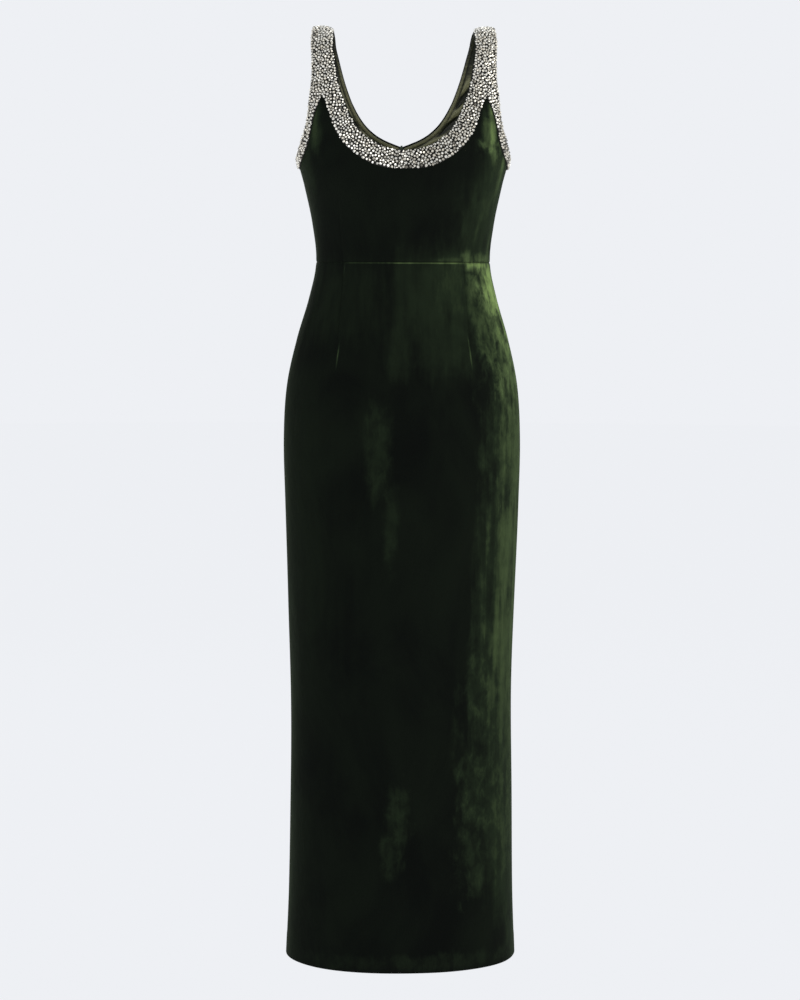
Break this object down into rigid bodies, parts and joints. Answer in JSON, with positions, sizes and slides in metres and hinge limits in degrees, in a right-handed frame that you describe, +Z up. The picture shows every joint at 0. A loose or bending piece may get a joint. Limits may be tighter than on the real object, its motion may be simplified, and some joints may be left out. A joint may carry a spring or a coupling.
{
  "type": "velvet column gown",
  "caption": "Full-length sleeveless velvet column gown with a waist seam, scoop neck and crystal-set neckline and armhole bands, standing hollow as worn.",
  "frame": {"origin": "midway between the tops of the two straps, at the level of their crystals' top, where the gown hangs from the shoulders", "axes": "+Z up along the gown, the front faces -Y, +X to the right of somebody looking at the front"},
  "size_m": [0.3552, 0.2448, 1.3999],
  "materials": {
    "velvet": "deep bottle-green silk velvet with a directional nap",
    "crystal": "clear and champagne foiled crystals packed on a net backing",
    "satin": "olive satin, soft sheen",
    "zip_tape": "dark green woven nylon tape and coil",
    "metal": "dark enamelled metal"
  },
  "bodies": {
    "dress": {"front_bodice": "velvet", "back_bodice_left": "velvet", "back_bodice_right": "velvet", "front_skirt": "velvet", "back_skirt_left": "velvet", "back_skirt_right": "velvet", "neckline_crystal_band": "crystal", "armhole_crystal_band_left": "crystal", "armhole_crystal_band_right": "crystal", "back_neck_facing_left": "satin", "back_neck_facing_right": "satin", "zip": "zip_tape", "zip_slider": "metal"},
    "pull": {"zip_pull": "metal"}
  },
  "joints": [
    {"name": "pull_swing", "type": "hinge", "parent": "dress", "child": "pull", "pos_m": [0, 0.1047, -0.1735], "axis": [1, 0, 0], "range_deg": [0, 150]}
  ]
}
